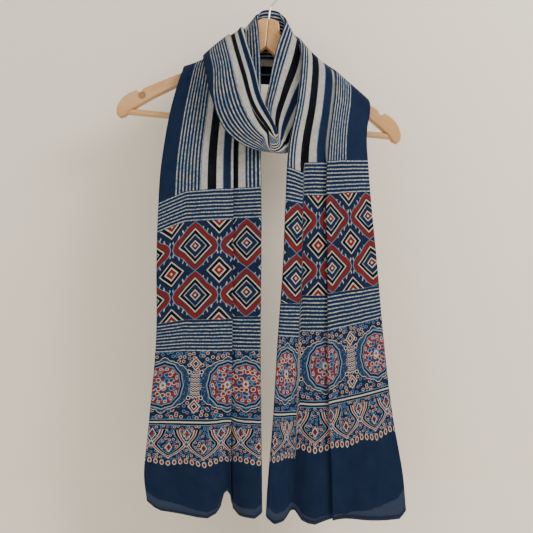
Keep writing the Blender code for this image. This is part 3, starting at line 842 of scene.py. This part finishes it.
def medallion_group(florets):
    """Lobed medallions full of flowers, in scalloped fields parted by narrow pillars."""
    tree, take, leave = new_group(
        "medallion band", (*PLACE, ("Break", "NodeSocketFloat", 0.5), *DYES),
        (("Color", "NodeSocketColor"),),
    )
    dyes = {dye: take[dye] for dye in ("Indigo", "Sky", "Chalk", "Black", "Madder")}
    pitch = 0.0885
    x = take["Across"].cell(pitch)
    y = take["Along"] - (RULE_TOP + MEDALLION_TOP) / 2
    wide, tall = x.size(), y.size()
    where = joined(tree, take["Across"] * 150, take["Along"] * 150)
    flowers = use_group(tree, florets, Where=where, Size=0.36, **dyes)
    colour = paint(tree, take["Indigo"], flowers.outputs[0], Field(tree, flowers.outputs[1]))
    contour = wide.curve(
        ((0.0, 0.042), (0.0355, 0.0), (0.0087, 0.0355), (0.0154, 0.0335), (0.0231, 0.0285),
         (0.0289, 0.0255), (0.0335, 0.0185)), 0.05,
    )
    scallop = (x * 420).put("SINE").size() * 0.0014
    inside = contour - tall + scallop
    speck = noise(tree, where, 2.6, 1.0).above(0.60, 0.06)
    field = paint(tree, (0.012, 0.030, 0.085), take["Sky"], speck * 0.45)
    colour = paint_layers(tree, colour, (
        (field, inside.above(0.0, EDGE)),
        (take["Chalk"], inside.near(0.0004, 0.0005, 0.0005)),
        (take["Black"], inside.near(-0.0010, 0.0007, 0.0005)),
    ))
    across, up = x / 0.0232, y / 0.0290
    angle = up.put("ARCTAN2", across)
    lobes = (angle * 6).put("SINE").size() * 0.05
    ring = (across * across + up * up).root() + lobes
    colour = paint_layers(tree, colour, (
        ((0.20, 0.26, 0.32), ring.near(1.22, 0.030, 0.03)),
        (take["Black"], ring.near(1.14, 0.035, 0.02)),
        (take["Sky"], ring.near(1.05, 0.02, 0.02)),
        (take["Madder"], ring.below(1.01, 0.03)),
    ))
    heart = joined(tree, take["Across"] * 135, take["Along"] * 135)
    inner = use_group(tree, florets, Where=heart, Size=0.46, **dyes)
    within = ring.below(0.84, 0.02)
    flecks = speck.most(ring.near(0.45, 0.1, 0.05))
    ground = paint(tree, take["Madder"], (0.014, 0.034, 0.095), flecks)
    colour = paint(tree, colour, ground, within)
    colour = paint(tree, colour, inner.outputs[0], Field(tree, inner.outputs[1]) * within)
    bud_x, bud_y = (angle * (14 / math.tau)).cell(1.0), (ring - 0.90) * 8.0
    bud = (bud_x * bud_x * 5.0 + bud_y * bud_y).root()
    colour = paint_layers(tree, colour, (
        (take["Chalk"], bud.below(0.62, 0.12)),
        ((0.02, 0.06, 0.17), bud.below(0.40, 0.12)),
        (take["Chalk"], ring.near(0.17, 0.045, 0.03)),
        (take["Black"], ring.below(0.06, 0.03)),
    ))
    beside = take["Across"].cell(pitch, 0.5).size()
    zig = (beside.cell(0.0045).size() * 0.9 + y).cell(0.0066)
    column = paint(tree, take["Chalk"], take["Madder"], zig.near(0.0015, 0.0009, 0.0005))
    column = paint(tree, column, take["Indigo"], zig.near(-0.0016, 0.0011, 0.0005))
    pillar = beside.below(0.0056, EDGE) * tall.below(0.0195, EDGE)
    colour = paint_layers(tree, colour, (
        (column, pillar),
        (take["Sky"], beside.near(0.0062, 0.0004, 0.0004) * tall.below(0.019, EDGE)),
    ))
    eye = ((beside - 0.0085) * (beside - 0.0085) + (tall - 0.019) * (tall - 0.019)).root()
    colour = paint_layers(tree, colour, (
        (take["Chalk"], eye.below(0.0030, 0.0005)),
        (take["Black"], eye.below(0.0020, 0.0005)),
    ))
    bloom = beside / 0.0085 + (tall - 0.0315).size() / 0.0105
    colour = paint_layers(tree, colour, (
        (take["Chalk"], bloom.below(1.0, 0.08)),
        (take["Madder"], bloom.below(0.82, 0.08)),
        (take["Chalk"], bloom.below(0.52, 0.08)),
        (take["Indigo"], bloom.below(0.36, 0.08)),
    ))
    tree.links.new(colour, leave.inputs[0])
    return tree


def arch_group(florets):
    """Lotus arches: cupped bands that meet in crossings, with flowers in and between them."""
    tree, take, leave = new_group(
        "arch border", (*PLACE, ("Break", "NodeSocketFloat", 0.5), *DYES),
        (("Color", "NodeSocketColor"),),
    )
    dyes = {dye: take[dye] for dye in ("Indigo", "Sky", "Chalk", "Black", "Madder")}
    pitch = 0.045
    x = take["Across"].cell(pitch)
    y = take["Along"] - PLAIN_TOP
    wide = x.size()
    where = joined(tree, take["Across"] * 210, take["Along"] * 210)
    flowers = use_group(tree, florets, Where=where, Size=0.38, **dyes)
    colour = paint(tree, take["Indigo"], flowers.outputs[0], Field(tree, flowers.outputs[1]))
    side = y.curve(
        ((0.0, 0.0), (0.06, 0.0118), (0.0085, 0.0002), (0.0138, 0.0060), (0.0186, 0.0123),
         (0.0225, 0.0162), (0.0263, 0.0195), (0.031, 0.0218), (0.0378, 0.0182),
         (0.0427, 0.0152), (0.0495, 0.0130)), 0.06,
    )
    inside = side - wide
    open_top = y.below(0.0530, 0.001) * y.above(0.0075, 0.001)
    colour = paint_layers(tree, colour, (
        (take["Chalk"], inside.near(0.0, 0.0006, EDGE) * open_top),
        (take["Madder"], inside.between(0.0006, 0.0028, EDGE) * open_top),
        (take["Chalk"], inside.near(0.0033, 0.0005, EDGE) * open_top),
        (take["Black"], inside.between(0.0039, 0.0068, EDGE) * open_top),
        (take["Sky"], inside.near(0.0074, 0.0005, EDGE) * open_top),
    ))
    middle = wide / 0.0045 + (y - 0.0255).size() / 0.0075
    colour = paint_layers(tree, colour, (
        (take["Chalk"], middle.below(1.0, 0.1)),
        (take["Madder"], middle.below(0.75, 0.1)),
        (take["Indigo"], middle.below(0.3, 0.1)),
    ))
    beside = take["Across"].cell(pitch, 0.5).size()
    dot = beside / 0.0032 + (y - 0.031).size() / 0.0042
    colour = paint_layers(tree, colour, (
        (take["Chalk"], dot.below(1.15, 0.1)),
        ((0.015, 0.07, 0.20), dot.below(0.85, 0.1)),
    ))
    bud = beside / 0.0052 + (y - 0.046).size() / 0.0085
    colour = paint_layers(tree, colour, (
        (take["Chalk"], bud.near(0.95, 0.09, 0.06)),
        (take["Madder"], bud.below(0.45, 0.1)),
    ))
    drop_x = take["Across"].cell(0.0075) / 0.0026
    lift = y - (take["Across"].cell(pitch).size() * 0.22)
    drop_y = (lift - 0.0005) / 0.0042
    drop = (drop_x * drop_x + drop_y * drop_y).root()
    ground = lift.below(0.0045, EDGE)
    colour = paint_layers(tree, colour, (
        (take["Indigo"], ground),
        (take["Chalk"], drop.below(1.0, 0.15)),
        (take["Madder"], drop.below(0.66, 0.15)),
    ))
    tree.links.new(colour, leave.inputs[0])
    return tree


def rule_group():
    """The double line over the arches."""
    tree, take, leave = new_group("double line", (*PLACE, *DYES), (("Color", "NodeSocketColor"),))
    y = take["Along"] - (ARCH_TOP + RULE_TOP) / 2
    away = y.size()
    colour = paint(tree, take["Indigo"], take["Sky"], away.near(0.0044, 0.0005, EDGE))
    colour = paint_layers(tree, colour, (
        (take["Black"], away.below(0.0031, EDGE)),
        (take["Chalk"], away.below(0.0012, EDGE)),
    ))
    tree.links.new(colour, leave.inputs[0])
    return tree


def print_group():
    """The whole print over the cloth's flat coordinates."""
    tree, take, leave = new_group(
        "ajrakh print",
        (("Flat", "NodeSocketVector", None), *DYES),
        (("Color", "NodeSocketColor"), ("Hem", "NodeSocketFloat")),
    )
    parts = tree.nodes.new("ShaderNodeSeparateXYZ")
    tree.links.new(take["Flat"], parts.inputs[0])
    across, run = Field(tree, parts.outputs[0]), Field(tree, parts.outputs[1])
    second = run.above(FLAT_LENGTH / 2, 0.01)
    away = run.least(run * -1 + FLAT_LENGTH)
    blur = noise(tree, stretched(tree, take["Flat"], (420, 190, 1)), 1.0, 2.0, 0.6)
    slow = noise(tree, stretched(tree, take["Flat"], (60, 45, 1)), 1.0, 2.0, 0.55)
    wavy = away + (slow - 0.5) * 0.0016
    shaky = across + (slow - 0.5) * 0.0010
    dyes = {dye: take[dye] for dye in ("Indigo", "Sky", "Chalk", "Black", "Madder")}
    few = {dye: take[dye] for dye in ("Indigo", "Sky", "Chalk")}
    lines = band_of_lines("fine lines", 0.0052, 0.0009)
    stripes = use_group(
        tree, stripe_group(lines), Across=across, Along=away,
        Break=blur * 0.7 + slow * 0.3, **dyes,
    )
    cross_lines = band_of_lines("cross lines", 0.0055, 0.0008)
    ruled = use_group(tree, cross_lines, Place=wavy, Break=blur, **few)
    phase = second * 0.0565 - 0.0605
    diamonds = use_group(
        tree, diamond_group(), Across=shaky + phase, Along=wavy, Break=blur * 0.35 + slow * 0.65,
        **dyes,
    )
    florets = floret_group()
    medallions = use_group(
        tree, medallion_group(florets), Across=shaky - 0.0195, Along=wavy, Break=blur, **dyes
    )
    arches = use_group(
        tree, arch_group(florets), Across=shaky - 0.0330, Along=wavy, Break=blur, **dyes
    )
    rule = use_group(tree, rule_group(), Across=across, Along=wavy, **dyes)
    colour = paint(tree, take["Indigo"], arches.outputs[0], wavy.above(PLAIN_TOP - 0.005, EDGE))
    for above, edge in (
        (rule, ARCH_TOP), (medallions, RULE_TOP), (ruled, MEDALLION_TOP), (diamonds, LINES_TOP),
        (ruled, DIAMOND_TOP), (stripes, END_TOP),
    ):
        colour = paint(tree, colour, above.outputs[0], wavy.above(edge, EDGE))
    fade = paint(tree, colour, (0.03, 0.05, 0.10), slow.above(0.55, 0.5) * 0.15)
    lean = across.curve(
        ((0.0, 0.024), (0.375, 0.020), (0.05, 0.013), (0.09, 0.006), (0.15, 0.010), (0.25, 0.018)),
        0.4,
    )
    sheer = (away - lean + (slow - 0.5) * 0.006).below(0.0, 0.0012)
    colour = paint(tree, fade, (0.035, 0.05, 0.09), sheer * 0.75)
    hem = away.near(0.0032, 0.0012, 0.0012)
    colour = paint(tree, colour, (0.006, 0.016, 0.05), hem * 0.8)
    tree.links.new(colour, leave.inputs[0])
    tree.links.new(hem.socket, leave.inputs[1])
    return tree


def new_material(name):
    made = bpy.data.materials.new(name)
    made.use_nodes = True
    return made, made.node_tree, made.node_tree.nodes["Principled BSDF"]


def roughen(tree, shader, height, strength, distance):
    """Gives a shader a bump from a height."""
    bump = tree.nodes.new("ShaderNodeBump")
    bump.inputs["Strength"].default_value = strength
    bump.inputs["Distance"].default_value = distance
    tree.links.new(height, bump.inputs["Height"])
    tree.links.new(bump.outputs[0], shader.inputs["Normal"])


def cloth_material():
    made, tree, shader = new_material("block-printed indigo cotton")
    shader.inputs["Sheen Weight"].default_value = 0.012
    shader.inputs["Sheen Roughness"].default_value = 0.5
    shader.inputs["Specular IOR Level"].default_value = 0.06
    flat = tree.nodes.new("ShaderNodeUVMap")
    flat.uv_map = "flat cloth"
    printed = use_group(tree, print_group(), Flat=flat.outputs[0])
    parts = tree.nodes.new("ShaderNodeSeparateXYZ")
    tree.links.new(flat.outputs[0], parts.inputs[0])
    warp, weft = Field(tree, parts.outputs[0]), Field(tree, parts.outputs[1])
    weave = (warp * (math.tau / 0.0007)).put("SINE") * (weft * (math.tau / 0.0007)).put("SINE")
    slub = noise(tree, stretched(tree, flat.outputs[0], (900, 70, 1)), 1.0, 1.0)
    slub = slub + noise(tree, stretched(tree, flat.outputs[0], (70, 900, 1)), 1.0, 1.0)
    crumple = noise(tree, stretched(tree, flat.outputs[0], (28, 70, 1)), 1.0, 3.0, 0.55)
    tone = paint(tree, printed.outputs[0], (0.0, 0.0, 0.0), (slub * -0.25 + 0.32).most(0.0))
    tree.links.new(tone, shader.inputs["Base Color"])
    rough = crumple * 0.12 + 0.80
    tree.links.new(rough.socket, shader.inputs["Roughness"])
    height = crumple * 1.1 + slub * 0.12 + weave * 0.05 + Field(tree, printed.outputs[1]) * 0.5
    roughen(tree, shader, height.socket, 0.55, 0.001)
    return made


def grain_group():
    """Straight wood grain along X: growth lines, pores, tone and a bump height."""
    tree, take, leave = new_group(
        "wood grain",
        (
            ("Where", "NodeSocketVector", None),
            ("Light", "NodeSocketColor", (0.62, 0.40, 0.20, 1)),
            ("Dark", "NodeSocketColor", (0.42, 0.22, 0.085, 1)),
        ),
        (("Color", "NodeSocketColor"), ("Height", "NodeSocketFloat"), ("Rough", "NodeSocketFloat")),
    )
    bent = noise(tree, stretched(tree, take["Where"], (9, 40, 40)), 1.0, 2.0)
    parts = tree.nodes.new("ShaderNodeSeparateXYZ")
    tree.links.new(take["Where"], parts.inputs[0])
    rings = (Field(tree, parts.outputs[2]) * 190 + bent * 5.5).part()
    late = rings.above(0.62, 0.5) * rings.below(0.97, 0.05)
    pores = noise(tree, stretched(tree, take["Where"], (60, 1500, 1500)), 1.0, 2.0)
    patch = noise(tree, stretched(tree, take["Where"], (14, 30, 30)), 1.0, 2.0)
    colour = paint(tree, take["Light"], take["Dark"], late * 0.42)
    colour = paint_layers(tree, colour, (
        (take["Dark"], pores.above(0.58, 0.2) * 0.30),
        ((0.70, 0.50, 0.28), patch.above(0.55, 0.3) * 0.35),
    ))
    tree.links.new(colour, leave.inputs[0])
    tree.links.new((pores * -0.4 + late * 0.3).socket, leave.inputs[1])
    tree.links.new((pores * 0.15 + late * -0.06 + 0.36).socket, leave.inputs[2])
    return tree


def wood_material(name, grain, turn, light, coat, knot=None):
    made, tree, shader = new_material(name)
    shader.inputs["Coat Weight"].default_value = coat
    shader.inputs["Coat Roughness"].default_value = 0.18
    place = tree.nodes.new("ShaderNodeTexCoord")
    where = stretched(tree, place.outputs["Object"], (1, 1, 1), (0, turn, 0))
    spot = None
    if knot:
        offset = tree.nodes.new("ShaderNodeVectorMath")
        offset.operation = "SUBTRACT"
        offset.inputs[1].default_value = knot
        tree.links.new(place.outputs["Object"], offset.inputs[0])
        length = tree.nodes.new("ShaderNodeVectorMath")
        length.operation = "LENGTH"
        tree.links.new(offset.outputs[0], length.inputs[0])
        spot = Field(tree, length.outputs["Value"])
        parts = tree.nodes.new("ShaderNodeSeparateXYZ")
        tree.links.new(where, parts.inputs[0])
        push = (spot * -140).put("EXPONENT") * 0.012
        lifted = Field(tree, parts.outputs[2]) + push
        again = tree.nodes.new("ShaderNodeCombineXYZ")
        tree.links.new(parts.outputs[0], again.inputs[0])
        tree.links.new(parts.outputs[1], again.inputs[1])
        tree.links.new(lifted.socket, again.inputs[2])
        where = again.outputs[0]
    wood = use_group(tree, grain, Where=where, Light=(*light, 1.0), Dark=(*PINE_DARK, 1.0))
    colour = wood.outputs["Color"]
    if spot:
        colour = paint(tree, colour, (0.22, 0.09, 0.035), spot.below(0.0062, 0.004) * 0.75)
        colour = paint(tree, colour, (0.12, 0.045, 0.02), spot.near(0.0042, 0.0007, 0.001) * 0.6)
    tree.links.new(colour, shader.inputs["Base Color"])
    tree.links.new(wood.outputs["Rough"], shader.inputs["Roughness"])
    roughen(tree, shader, wood.outputs["Height"], 0.25, 0.0004)
    return made


def steel_material():
    made, tree, shader = new_material("drawn steel wire")
    shader.inputs["Metallic"].default_value = 1.0
    place = tree.nodes.new("ShaderNodeTexCoord")
    fine = noise(tree, stretched(tree, place.outputs["Object"], (900, 900, 120)), 1.0, 2.0)
    dull = noise(tree, place.outputs["Object"], 60.0, 2.0)
    colour = paint(tree, (0.58, 0.56, 0.53), (0.40, 0.36, 0.31), dull.above(0.55, 0.3))
    tree.links.new(colour, shader.inputs["Base Color"])
    tree.links.new((fine * 0.2 + dull * 0.15 + 0.16).socket, shader.inputs["Roughness"])
    return made


def dress_node(name, finish):
    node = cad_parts[name]
    if not node.material_slots:
        node.data.materials.append(finish)
    for slot in node.material_slots:
        slot.material = finish


class StoleSettings(bpy.types.PropertyGroup):
    """Sizes and dyes of the cloth."""

    thickness: bpy.props.FloatProperty(
        name="Cloth thickness", description="Thickness of the cotton", default=CLOTH_THICK,
        unit="LENGTH", subtype="DISTANCE",
    )
    indigo: bpy.props.FloatVectorProperty(
        name="Indigo", description="Dye of the ground", default=INDIGO, size=3, subtype="COLOR"
    )
    madder: bpy.props.FloatVectorProperty(
        name="Madder", description="Dye of the red figures", default=MADDER, size=3,
        subtype="COLOR",
    )
    chalk: bpy.props.FloatVectorProperty(
        name="Undyed", description="Colour of the cotton where no dye took", default=CHALK, size=3,
        subtype="COLOR",
    )


class HangerSettings(bpy.types.PropertyGroup):
    """Finish of the hanger."""

    pine: bpy.props.FloatVectorProperty(
        name="Pine", description="Colour of the light wood", default=PINE, size=3,
        subtype="COLOR",
    )


class STOLE_OT_cloth(bpy.types.Operator):
    """Builds the stole as one folded sheet"""

    bl_idname = "stole.cloth"
    bl_label = "Build the stole"

    def execute(self, context):
        settings = context.scene.stole_settings
        surface, flat = cloth_points()
        rows, columns, _ = surface.shape
        builder = bmesh.new()
        grid = [[builder.verts.new(point) for point in row] for row in surface]
        places = builder.loops.layers.uv.new("flat cloth")
        for r in range(rows - 1):
            for c in range(columns - 1):
                corners = ((r, c), (r, c + 1), (r + 1, c + 1), (r + 1, c))
                face = builder.faces.new([grid[i][j] for i, j in corners])
                face.smooth = True
                for loop, corner in zip(face.loops, corners):
                    loop[places].uv = flat[corner]
        mesh = bpy.data.meshes.new("ajrakh_stole")
        builder.to_mesh(mesh)
        builder.free()
        made = bpy.data.objects.new("ajrakh_stole", mesh)
        context.scene.collection.objects.link(made)
        finish = cloth_material()
        printed = next(node for node in finish.node_tree.nodes if node.type == "GROUP")
        printed.inputs["Indigo"].default_value = (*settings.indigo, 1.0)
        printed.inputs["Madder"].default_value = (*settings.madder, 1.0)
        printed.inputs["Chalk"].default_value = (*settings.chalk, 1.0)
        mesh.materials.append(finish)
        wall = made.modifiers.new("cloth thickness", "SOLIDIFY")
        wall.thickness = settings.thickness
        wall.offset = 0.0
        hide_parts("stole")
        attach(made, "root")
        return {"FINISHED"}


class STOLE_OT_hanger(bpy.types.Operator):
    """Finishes the hanger's arms, bar and hook"""

    bl_idname = "stole.hanger"
    bl_label = "Finish the hanger"

    def execute(self, context):
        pine = tuple(context.scene.hanger_settings.pine)
        grain = grain_group()
        left = wood_material("pine, left arm", grain, ARM_FALL - TILT, pine, 0.25, KNOT)
        right = wood_material("pine, right arm", grain, -ARM_FALL - TILT, pine, 0.25)
        bar = wood_material("varnished pine", grain, -TILT, VARNISHED_PINE, 0.7)
        dress_node("hanger_arm_left", left)
        dress_node("hanger_arm_right", right)
        dress_node("trouser_bar", bar)
        dress_node("hook", steel_material())
        return {"FINISHED"}


class STOLE_OT_stage(bpy.types.Operator):
    """Sets the backdrop, lights and camera"""

    bl_idname = "stole.stage"
    bl_label = "Set the stage"

    def execute(self, context):
        scene = context.scene
        builder = bmesh.new()
        low = CAD_BOX[0][2] - 0.12
        line = [(-3.0, low), (0.0, low), (0.075, low + 0.03), (0.105, low + 0.12), (0.11, 2.4)]
        edge = [builder.verts.new((-3.0, y, z)) for y, z in line]
        chain = [builder.edges.new(pair) for pair in zip(edge, edge[1:])]
        grown = bmesh.ops.extrude_edge_only(builder, edges=chain)
        moved = [item for item in grown["geom"] if isinstance(item, bmesh.types.BMVert)]
        bmesh.ops.translate(builder, vec=(6.0, 0.0, 0.0), verts=moved)
        mesh = bpy.data.meshes.new("backdrop")
        builder.to_mesh(mesh)
        builder.free()
        backdrop = bpy.data.objects.new("backdrop", mesh)
        scene.collection.objects.link(backdrop)
        plaster, tree, shader = new_material("warm plaster")
        place = tree.nodes.new("ShaderNodeTexCoord")
        cloud = noise(tree, place.outputs["Object"], 3.0, 3.0)
        grit = noise(tree, place.outputs["Object"], 260.0, 2.0)
        tree.links.new(
            paint(tree, (0.90, 0.84, 0.74), (0.86, 0.80, 0.70), cloud), shader.inputs["Base Color"]
        )
        shader.inputs["Roughness"].default_value = 0.9
        roughen(tree, shader, grit.socket, 0.2, 0.001)
        # The wall stands close behind the hanger, so it is seen from its plastered side only.
        side = tree.nodes.new("ShaderNodeNewGeometry")
        clear = tree.nodes.new("ShaderNodeBsdfTransparent")
        skin = tree.nodes.new("ShaderNodeMixShader")
        tree.links.new(side.outputs["Backfacing"], skin.inputs[0])
        tree.links.new(shader.outputs[0], skin.inputs[1])
        tree.links.new(clear.outputs[0], skin.inputs[2])
        tree.links.new(skin.outputs[0], tree.nodes["Material Output"].inputs["Surface"])
        mesh.materials.append(plaster)
        world = bpy.data.worlds.new("soft room")
        world.use_nodes = True
        world.node_tree.nodes["Background"].inputs[0].default_value = (1.0, 0.965, 0.90, 1.0)
        world.node_tree.nodes["Background"].inputs[1].default_value = 0.72
        scene.world = world
        self.add_light("window", (1.5, -1.1, 0.6), (0.05, 0.0, -0.4), 0.9, 38.0)
        self.add_light("fill", (-1.4, -1.6, 0.3), (0.0, 0.0, -0.5), 1.4, 11.0)
        lens = bpy.data.cameras.new("camera")
        lens.lens = 34.1
        lens.sensor_width = 36.0
        lens.clip_start = 0.01
        camera = bpy.data.objects.new("camera", lens)
        camera.location = (-0.008, -0.8, -0.459)
        camera.rotation_euler = (math.pi / 2, 0.0, 0.0)
        scene.collection.objects.link(camera)
        scene.camera = camera
        return {"FINISHED"}

    def add_light(self, name, place, aim, size, power):
        light = bpy.data.lights.new(name, "AREA")
        light.shape = "DISK"
        light.size = size
        light.energy = power
        light.color = (1.0, 0.96, 0.90)
        made = bpy.data.objects.new(name, light)
        made.location = place
        turn = (Vector(aim) - Vector(place)).to_track_quat("-Z", "Y")
        made.rotation_euler = turn.to_euler()
        bpy.context.scene.collection.objects.link(made)


class STOLE_PT_panel(bpy.types.Panel):
    """Lists the operators and settings of the stole"""

    bl_idname = "STOLE_PT_panel"
    bl_label = "Stole on a hanger"
    bl_space_type = "VIEW_3D"
    bl_region_type = "UI"
    bl_category = "Stole"

    def draw(self, context):
        layout = self.layout
        settings = context.scene.stole_settings
        layout.prop(settings, "thickness")
        layout.prop(settings, "indigo")
        layout.prop(settings, "madder")
        layout.prop(settings, "chalk")
        layout.prop(context.scene.hanger_settings, "pine")
        layout.operator(STOLE_OT_hanger.bl_idname)
        layout.operator(STOLE_OT_cloth.bl_idname)
        layout.operator(STOLE_OT_stage.bl_idname)


CLASSES = (
    StoleSettings, HangerSettings, STOLE_OT_cloth, STOLE_OT_hanger, STOLE_OT_stage, STOLE_PT_panel,
)


def register():
    for each in CLASSES:
        bpy.utils.register_class(each)
    bpy.types.Scene.stole_settings = bpy.props.PointerProperty(type=StoleSettings)
    bpy.types.Scene.hanger_settings = bpy.props.PointerProperty(type=HangerSettings)


def unregister():
    del bpy.types.Scene.hanger_settings
    del bpy.types.Scene.stole_settings
    for each in reversed(CLASSES):
        bpy.utils.unregister_class(each)


def main():
    register()
    bpy.ops.stole.hanger()
    bpy.ops.stole.cloth()
    bpy.ops.stole.stage()


if __name__ == "__main__":
    main()
